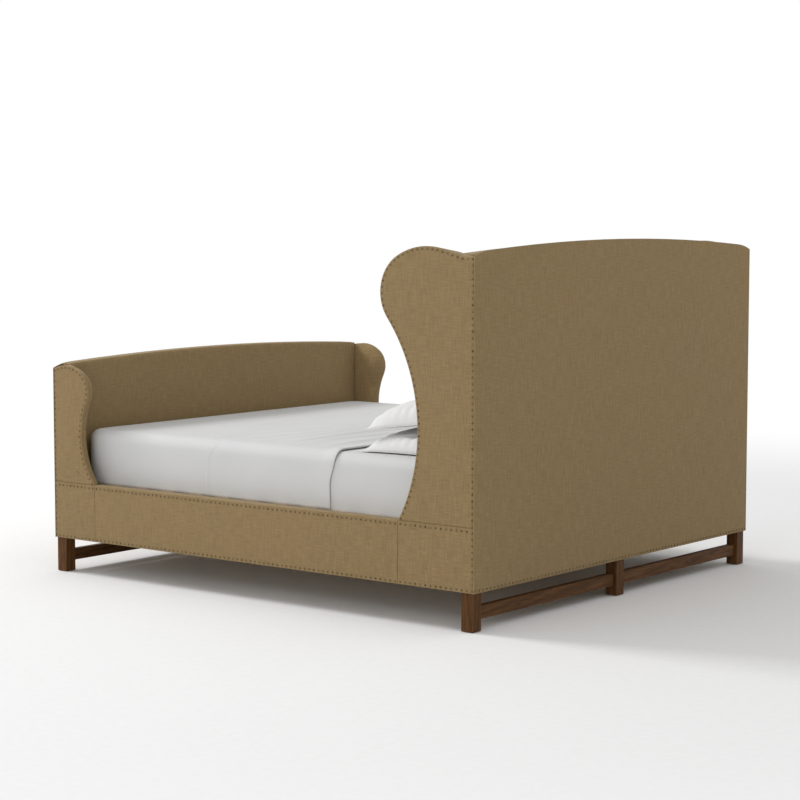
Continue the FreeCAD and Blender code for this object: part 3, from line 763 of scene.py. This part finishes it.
# ---------------------------------------------------------------- bedding
MATTRESS_CORNER = 0.080
MATTRESS_EDGE = 0.045
SHEET_CLOTH = 0.0009
FITTED_OFF = 0.0014
TOP_OFF = 0.0034
FOLDED_OFF = 0.0062
FOLD_ROLL = 0.0036
FOLD_RISE = 0.0040
FOLD_RUN = 0.085
CLOTH_STEP = 0.013
FOLD_PLACE = 0.372
FOLD_LEAD = 0.036
RIDGE_GAIN = 1.5
HEM_PLACE = -0.340
HEM_LEAD = 0.050
HEM_SLANT = 0.32
HEM_SWELL = 0.0050
HEM_CURL = 0.028
HEM_ROWS = ((0.0005, 0.0008), (0.0040, 0.0009), (0.0220, 0.0006), (0.0245, 0.0001))
HEM_START = 0.0270
MATTRESS_STEP = 0.018
QUILT_SPACING = 0.11
QUILT_SINK = 0.0022
QUILT_PUFF = 0.0018
# each ridge across the turned-down part: place, slant, half width and height
TURNED_RIDGES = ((0.290, 0.05, 0.020, 0.0090), (0.185, 0.09, 0.024, 0.0080),
                 (0.075, 0.06, 0.020, 0.0095), (-0.045, 0.10, 0.022, 0.0075),
                 (-0.160, 0.06, 0.018, 0.0060), (-0.255, 0.08, 0.016, 0.0040))


class Block:
    """The mattress as a surface that a flat cloth is laid over: top, rounded edge and sides."""

    def __init__(self):
        self.low, self.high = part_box("mattress")
        self.core = np.array([[-self.high.x + MATTRESS_CORNER, self.low.y + MATTRESS_CORNER],
                              [self.high.x - MATTRESS_CORNER, self.high.y - MATTRESS_CORNER]])
        self.level = MATTRESS_CORNER - MATTRESS_EDGE
        self.arc = MATTRESS_EDGE * math.pi / 2

    def reach(self, z):
        """Cloth length from the core's edge down to height z."""
        return self.level + self.arc + self.high.z - MATTRESS_EDGE - z

    def place(self, a, b, off, reach):
        """Point of the cloth's spot (a, b), lying off the mattress by off and no lower than reach."""
        flat = np.column_stack([a, b])
        inner = np.clip(flat, self.core[0], self.core[1])
        way = flat - inner
        run = np.linalg.norm(way, axis=1)
        way = way / np.maximum(run, 1e-9)[:, None]
        run = np.minimum(run, reach)
        theta = np.clip((run - self.level) / MATTRESS_EDGE, 0, math.pi / 2)
        out = np.minimum(run, self.level) + (MATTRESS_EDGE + off) * np.sin(theta)
        z = self.high.z - MATTRESS_EDGE + (MATTRESS_EDGE + off) * np.cos(theta)
        z -= np.maximum(run - self.level - self.arc, 0)
        return np.column_stack([inner + way * out[:, None], z])

    def runs(self, a, b):
        """How far the cloth's spot (a, b) lies beyond the core."""
        flat = np.column_stack([a, b])
        return np.linalg.norm(flat - np.clip(flat, self.core[0], self.core[1]), axis=1)


def spread(block, reach, step):
    """Spots of a flat cloth that covers the mattress out to reach: its steps along x and y, and a and b."""
    ax = np.arange(block.core[0, 0] - reach, block.core[1, 0] + reach + step, step)
    by = np.arange(block.core[0, 1] - reach, block.core[1, 1] + reach + step, step)
    b, a = [m.ravel() for m in np.meshgrid(by, ax, indexing="ij")]
    return ax, by, a, b


def grid_faces(rows, columns, keep):
    """Faces of a grid of rows x columns points, without those whose points are all beyond the cloth."""
    faces = []
    for j in range(rows - 1):
        for i in range(columns - 1):
            f = (j * columns + i, j * columns + i + 1, (j + 1) * columns + i + 1, (j + 1) * columns + i)
            if any(keep[k] for k in f):
                faces.append(f)
    return faces


def used_only(points, faces):
    """The points that the faces use, and the faces renumbered."""
    used = sorted({i for f in faces for i in f})
    order = {old: new for new, old in enumerate(used)}
    return points[used], [tuple(order[i] for i in f) for f in faces]


def cloth_object(name, points, faces, mat, node_name):
    """A bed sheet with the thickness of its cloth, in place of its CAD node."""
    points, faces = used_only(points, faces)
    obj = new_object(name, points, faces, mat, "bedding")
    thick = obj.modifiers.new("cloth", "SOLIDIFY")
    thick.thickness = SHEET_CLOTH
    thick.offset = 0
    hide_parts(node_name)
    return obj


def add_fitted_sheet(block, white):
    """Sheet stretched over the whole mattress, with a faint line where its top meets its sides."""
    reach = block.reach(block.low.z + 0.004)
    ax, by, a, b = spread(block, reach, CLOTH_STEP)
    run = block.runs(a, b)
    spots = np.column_stack([a, b, np.zeros(len(a))])
    off = FITTED_OFF + 0.0006 * np.abs(waves(spots, 0.22, 41))
    off += 0.0005 * smoothstep(1 - np.abs(run - block.level - 0.02) / 0.03)
    points = block.place(a, b, off, reach)
    faces = grid_faces(len(by), len(ax), run < reach)
    obj = cloth_object("fitted_sheet_cloth", points, faces, white, "fitted_sheet")


def hem_place(a, edge_x):
    """Where the folded-back hem lies: pulled forward over the mattress's edge, then slanting away."""
    slant = HEM_SLANT * (1 - np.exp(-(edge_x - np.minimum(a, edge_x)) / 1.0))
    return HEM_PLACE - slant + HEM_LEAD * np.exp(-((np.abs(a) - 0.950) / 0.045) ** 2)


def ridges(a, b):
    """Low soft folds that run across the bed in the turned-down part."""
    height = np.zeros(len(a))
    window = smoothstep((0.93 - np.abs(a)) / 0.25)
    for k, (y, slant, width, tall) in enumerate(TURNED_RIDGES):
        wander = 0.018 * np.sin(3.1 * a + 1.7 * k) + 0.010 * np.sin(7.3 * a + k)
        fade = 0.45 + 0.55 * np.cos(1.9 * (a - 0.35 + 0.16 * k)) ** 2
        height += tall * fade * np.exp(-((b - y + slant * a - wander) / width) ** 2)
    return RIDGE_GAIN * height * window


def add_top_sheet(block, white):
    """One sheet from the foot up to the fold near the pillows, round the fold, and back to its hem."""
    reach = block.reach(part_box("top_sheet")[0].z)
    ax = np.arange(block.core[0, 0] - reach, block.core[1, 0] + reach + CLOTH_STEP, CLOTH_STEP)
    foot = block.core[0, 1] - reach
    wander = 0.0030 * np.sin(5.0 * ax) + 0.0020 * np.sin(11.0 * ax + 1.0)
    edge = FOLD_PLACE + FOLD_LEAD * smoothstep((1.09 - np.abs(ax)) / 0.14) + wander
    lift = 0.45 + 0.55 * smoothstep((1.02 - np.abs(ax)) / 0.08)
    rows_a, rows_b, rows_off, rows_keep = [], [], [], []

    def add_row(b, off):
        rows_a.append(ax)
        rows_b.append(b)
        rows_off.append(off)
        rows_keep.append(block.runs(ax, b) < reach)

    count = int((FOLD_PLACE - foot) / CLOTH_STEP)
    for t in np.linspace(0, 1, count, endpoint=False):
        b = foot + (edge - foot) * t
        spots = np.column_stack([ax, b, np.zeros(len(ax))])
        soft = 0.0012 * np.abs(waves(spots, 0.35, 43)) + 0.0008 * np.abs(waves(spots, 0.12, 44))
        add_row(b, TOP_OFF + soft * 0.6 + lift * FOLD_RISE * smoothstep(1 - (edge - b) / FOLD_RUN))
    for angle in np.linspace(-90, 90, 9):
        swing = math.radians(angle)
        off = TOP_OFF + lift * (FOLD_RISE + FOLD_ROLL * (1 + math.sin(swing)))
        add_row(edge + FOLD_ROLL * math.cos(swing), off)
    hem = hem_place(ax, block.high.x)
    length = edge - hem
    count = int(0.9 / CLOTH_STEP)
    for t in np.linspace(0, 1, count + 1)[1:]:
        from_edge = (length - HEM_START) * t
        b = edge - from_edge
        spots = np.column_stack([ax, b, np.zeros(len(ax))])
        rise = lift * (FOLD_RISE + 2 * FOLD_ROLL) - (FOLDED_OFF - TOP_OFF)
        off = FOLDED_OFF + rise * smoothstep(1 - from_edge / FOLD_RUN)
        off += 0.0016 * np.abs(waves(spots, 0.16, 47)) + ridges(ax, b)
        off += HEM_SWELL * smoothstep(1 - (b - hem) / HEM_CURL)
        last = off
        add_row(b, off)
    for distance, extra in reversed(HEM_ROWS):
        b = hem + distance
        add_row(b, FOLDED_OFF + extra + (last - FOLDED_OFF) * 0.95)
    a = np.concatenate(rows_a)
    b = np.concatenate(rows_b)
    points = block.place(a, b, np.concatenate(rows_off), reach)
    faces = grid_faces(len(rows_a), len(ax), np.concatenate(rows_keep))
    obj = cloth_object("top_sheet_cloth", points, faces, white, "top_sheet")


def add_mattress(block):
    """Quilted ticking over the top and sides, closed below."""
    reach = block.reach(block.low.z)
    ax, by, a, b = spread(block, reach, MATTRESS_STEP)
    run = block.runs(a, b)
    across, along = a / QUILT_SPACING * math.pi / 2, b / QUILT_SPACING * math.pi / 2
    quilt = np.abs(np.sin(across + along)) * np.abs(np.sin(across - along))
    off = -QUILT_SINK + QUILT_PUFF * np.sqrt(quilt) * (run < block.level)
    points = block.place(a, b, off, reach)
    points, faces = used_only(points, grid_faces(len(by), len(ax), run < reach))
    mat = cotton("mattress_ticking", srgb(206, 203, 194), 0.25)
    obj = new_object("mattress_ticking_cover", points, faces + [open_rim(faces)], mat, "bedding")
    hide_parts("mattress")


def open_rim(faces):
    """The one face that closes the open rim of a grid."""
    edges = [edge for f in faces for edge in zip(f, f[1:] + f[:1])]
    directed = set(edges)
    follow = {j: i for i, j in edges if (j, i) not in directed}
    loop, here = [], next(iter(follow))
    while here in follow:
        loop.append(here)
        here = follow.pop(here)
    return tuple(loop)


# ---------------------------------------------------------------- pillows
PILLOW_PRESSURE = 0.25
PILLOW_SWELL = 0.016
PILLOW_FULLNESS = 0.38
PILLOW_RIM_FLAT = 0.85
PUCKER_SPACING = 0.052
PUCKER_HEIGHT = 0.0032
UPPER_PILLOW = dict(tilt=7.0, width=0.94, depth=0.94, height=1.20)
PILLOW_FRAMES = 20
PILLOW_SEAM = 0.0017
PILLOW_COLUMNS = 80
PILLOW_ROWS = 46
PILLOW_START = (0.97, 0.92)
PILLOW_RIM_REACH = 0.20
PILLOW_SOLE = 0.007
PILLOW_CLEAR = 0.0004
PUCKER_PLACE = 0.045
PUCKER_REACH = 0.035


def pillow_shell(width, depth, height, seed):
    """Top and bottom sewn at the rim; the sides pull in between the corners."""
    nx, ny = PILLOW_COLUMNS, PILLOW_ROWS
    index = {}
    points = []

    def spot(i, j, top):
        rim = i in (0, nx) or j in (0, ny)
        key = (i, j, top or rim)
        if key not in index:
            u, v = 2 * i / nx - 1, 2 * j / ny - 1
            x = width / 2 * u * (1 - 0.050 * (1 - v * v) * u * u)
            y = depth / 2 * v * (1 - 0.075 * (1 - u * u) * v * v)
            full = ((1 - u * u) * (1 - v * v)) ** PILLOW_FULLNESS
            bulge = full * (0.86 + 0.10 * noise.noise(Vector((u * 1.7 + seed, v * 1.3, seed))))
            z = 0 if rim else (height * bulge if top else -0.10 * height * bulge)
            index[key] = len(points)
            points.append((x, y, z))
        return index[key]

    faces = []
    for j in range(ny):
        for i in range(nx):
            for top in (True, False):
                f = (spot(i, j, top), spot(i + 1, j, top), spot(i + 1, j + 1, top), spot(i, j + 1, top))
                faces.append(f if top else tuple(reversed(f)))
    rim = [spot(i, 0, True) for i in range(nx)] + [spot(nx, j, True) for j in range(ny)]
    rim += [spot(i, ny, True) for i in range(nx, 0, -1)] + [spot(0, j, True) for j in range(ny, 0, -1)]
    return np.array(points), faces, rim


def swell(points, faces, cap):
    """Inflate a closed cloth shell with pressure and no gravity, moving no point by more than cap."""
    scene = bpy.context.scene
    mesh = bpy.data.meshes.new("swelling")
    mesh.from_pydata([tuple(p) for p in points], [], faces)
    obj = bpy.data.objects.new("swelling", mesh)
    scene.collection.objects.link(obj)
    cloth = obj.modifiers.new("Cloth", "CLOTH")
    cloth.settings.use_pressure = True
    cloth.settings.uniform_pressure_force = PILLOW_PRESSURE
    cloth.settings.effector_weights.gravity = 0
    cloth.settings.bending_stiffness = 0.4
    cloth.settings.quality = 6
    cloth.settings.shrink_min = -0.03
    cloth.collision_settings.use_collision = False
    cloth.point_cache.frame_end = PILLOW_FRAMES + 5
    for number in range(1, PILLOW_FRAMES + 1):
        scene.frame_set(number)
    graph = bpy.context.evaluated_depsgraph_get()
    result = obj.evaluated_get(graph).to_mesh()
    out = np.array([v.co for v in result.vertices])
    scene.frame_set(1)
    bpy.data.objects.remove(obj)
    moved = out - points
    size = np.linalg.norm(moved, axis=1)
    return points + moved * np.minimum(1, cap / np.maximum(size, 1e-9))[:, None]


def seam_puckers(points, width, depth):
    """Soft gathers that run in from the seams."""
    x, y = points[:, 0], points[:, 1]
    height = np.zeros(len(points))
    for along, away in ((y, width / 2 - np.abs(x)), (x, depth / 2 - np.abs(y))):
        uneven = 0.6 + 0.4 * np.sin(along * 17.0 + 1.3)
        swing = np.sin(along * math.tau / PUCKER_SPACING + 1.1 * np.sin(along * 9.0))
        height += PUCKER_HEIGHT * uneven * swing * np.exp(-((away - PUCKER_PLACE) / PUCKER_REACH) ** 2)
    return height


def shaped_pillow(width, depth, height, seed):
    """A pillow about its own middle: swollen, brought to size, flat below and gathered at its seams."""
    start, low_start = PILLOW_START
    points, faces, rim = pillow_shell(width * start, depth * start, height * low_start, seed)
    near_rim = np.abs(points[:, :2]) / (np.array([width, depth]) * start / 2)
    near_rim = smoothstep((near_rim.max(1) - (1 - PILLOW_RIM_REACH)) / PILLOW_RIM_REACH)
    points = swell(points, faces, PILLOW_SWELL)
    points[:, 2] -= points[rim, 2].mean()
    points[:, 2] *= 1 - PILLOW_RIM_FLAT * near_rim ** 3
    points[:, :2] -= (points.min(0)[:2] + points.max(0)[:2]) / 2
    points[:, :2] *= np.array([width, depth]) / (points.max(0) - points.min(0))[:2]
    z = points[:, 2]
    tall, deep = z.max(), -z.min()
    z = np.where(z > 0, z * (height - PILLOW_SOLE) / tall, z * PILLOW_SOLE / deep)
    z += np.where(z > 0.001, seam_puckers(points, width, depth), 0)
    points[:, 2] = np.maximum(z, -PILLOW_SOLE + PILLOW_CLEAR) + PILLOW_SOLE
    return points, faces, rim


def add_pillow(name, number, side, shape, tilt):
    """Stand a shaped pillow where its CAD node is."""
    node_name = "pillow_" + number + "_" + side
    low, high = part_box(node_name)
    points, faces, rim = shape
    points = points.copy()
    mirror = 1 if side == "left" else -1
    points[:, 0] *= mirror
    t = math.radians(tilt)
    y, z = points[:, 1].copy(), points[:, 2].copy()
    points[:, 1] = y * math.cos(t) - z * math.sin(t)
    points[:, 2] = y * math.sin(t) + z * math.cos(t)
    points[:, 0] += (low.x + high.x) / 2
    points[:, 1] += (low.y + high.y) / 2 - (points[:, 1].min() + points[:, 1].max()) / 2
    points[:, 2] += low.z - points[:, 2].min() + PILLOW_CLEAR
    if mirror < 0:
        faces = [tuple(reversed(f)) for f in faces]
    white = cotton("pillow_cotton", (0.70, 0.70, 0.695), 0.35)
    obj = new_object(name, points, faces, white, node_name)
    obj.modifiers.new("smooth", "SUBSURF").levels = 1
    obj.modifiers["smooth"].render_levels = 1
    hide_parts(node_name)
    add_seam(name + "_seam", points[rim], white, node_name)


def add_seam(name, path, mat, body):
    """Corded seam round a pillow."""
    curve = bpy.data.curves.new(name, "CURVE")
    curve.dimensions = "3D"
    curve.bevel_depth = PILLOW_SEAM
    curve.bevel_resolution = 2
    spline = curve.splines.new("POLY")
    spline.points.add(len(path) - 1)
    for point, place in zip(spline.points, path):
        point.co = (*place, 1)
    spline.use_cyclic_u = True
    obj = bpy.data.objects.new(name, curve)
    bpy.context.scene.collection.objects.link(obj)
    curve.materials.append(mat)
    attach(obj, body)


def add_pillows():
    low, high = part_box("pillow_lower_left")
    size = high - low
    lower = shaped_pillow(size.x, size.y, size.z, 2.0)
    upper = shaped_pillow(size.x * UPPER_PILLOW["width"], size.y * UPPER_PILLOW["depth"],
                          size.z * UPPER_PILLOW["height"], 6.0)
    for side, _ in SIDES:
        add_pillow("pillow_lower_cushion_" + side, "lower", side, lower, 0.0)
        add_pillow("pillow_upper_cushion_" + side, "upper", side, upper, UPPER_PILLOW["tilt"])


def add_bedding():
    """Mattress, sheets and pillows."""
    block = Block()
    white = cotton("sheet_cotton", (0.585, 0.587, 0.583), 0.25)
    add_mattress(block)
    add_fitted_sheet(block, white)
    add_top_sheet(block, white)
    add_pillows()


add_bedding()


# ---------------------------------------------------------------- studio
WORLD_LIGHT = 0.78
KEY = dict(place=(2.6, -8.6, 8.6), size=3.5, power=700.0)
FILL = dict(place=(11.0, 1.5, 3.6), size=7.0, power=200.0)
FLOOR_SIZE = 80.0
FLOOR_FADE = (3.2, 7.0)


def add_light(name, place, size, power):
    light = bpy.data.lights.new(name, "AREA")
    light.size = size
    light.energy = power
    lamp = bpy.data.objects.new(name, light)
    bpy.context.scene.collection.objects.link(lamp)
    lamp.location = place
    lamp.rotation_mode = "QUATERNION"
    lamp.rotation_quaternion = (Vector((0, 0, 0.6)) - Vector(place)).to_track_quat("-Z", "Y")


def floor_material():
    """Pale matt floor that melts into the white surround away from the bed."""
    mat, tree, shader = material("floor")
    speck = noise_at(tree, object_coords(tree, (1, 1, 1)), 30.0, 2.0)
    tone = ramp(tree, speck, [(0.3, (0.80, 0.80, 0.80)), (0.7, (0.82, 0.82, 0.82))])
    link(tree, tone, shader.inputs["Base Color"])
    shader.inputs["Roughness"].default_value = 0.9
    shader.inputs["Specular IOR Level"].default_value = 0.0
    place = node(tree, "ShaderNodeTexCoord")
    away = node(tree, "ShaderNodeVectorMath", operation="LENGTH")
    link(tree, place.outputs["Object"], away.inputs[0])
    fade = node(tree, "ShaderNodeMapRange", interpolation_type="SMOOTHSTEP")
    fade.inputs["From Min"].default_value = FLOOR_FADE[0]
    fade.inputs["From Max"].default_value = FLOOR_FADE[1]
    link(tree, away.outputs["Value"], fade.inputs["Value"])
    glow = node(tree, "ShaderNodeEmission", {"Color": (1, 1, 1, 1), "Strength": 1.0})
    mixed = node(tree, "ShaderNodeMixShader")
    link(tree, fade.outputs["Result"], mixed.inputs[0])
    link(tree, shader.outputs[0], mixed.inputs[1])
    link(tree, glow.outputs[0], mixed.inputs[2])
    link(tree, mixed.outputs[0], tree.nodes["Material Output"].inputs["Surface"])
    return mat


def add_studio():
    """White surround, two soft lights and the floor."""
    scene = bpy.context.scene
    scene.view_settings.view_transform = "Standard"
    world = bpy.data.worlds.new("studio")
    world.use_nodes = True
    scene.world = world
    tree = world.node_tree
    sky = tree.nodes["Background"]
    sky.inputs["Color"].default_value = (1, 1, 1, 1)
    sky.inputs["Strength"].default_value = WORLD_LIGHT
    seen = node(tree, "ShaderNodeBackground", {"Color": (1, 1, 1, 1), "Strength": 1.0})
    rays = node(tree, "ShaderNodeLightPath")
    mixed = node(tree, "ShaderNodeMixShader")
    link(tree, rays.outputs["Is Camera Ray"], mixed.inputs[0])
    link(tree, sky.outputs[0], mixed.inputs[1])
    link(tree, seen.outputs[0], mixed.inputs[2])
    link(tree, mixed.outputs[0], tree.nodes["World Output"].inputs["Surface"])

    add_light("key", **KEY)
    add_light("fill", **FILL)
    mesh = bpy.data.meshes.new("floor")
    half = FLOOR_SIZE / 2
    corners = [(-half, -half, 0), (half, -half, 0), (half, half, 0), (-half, half, 0)]
    mesh.from_pydata(corners, [], [(0, 1, 2, 3)])
    floor = bpy.data.objects.new("floor", mesh)
    scene.collection.objects.link(floor)
    floor.data.materials.append(floor_material())


add_studio()
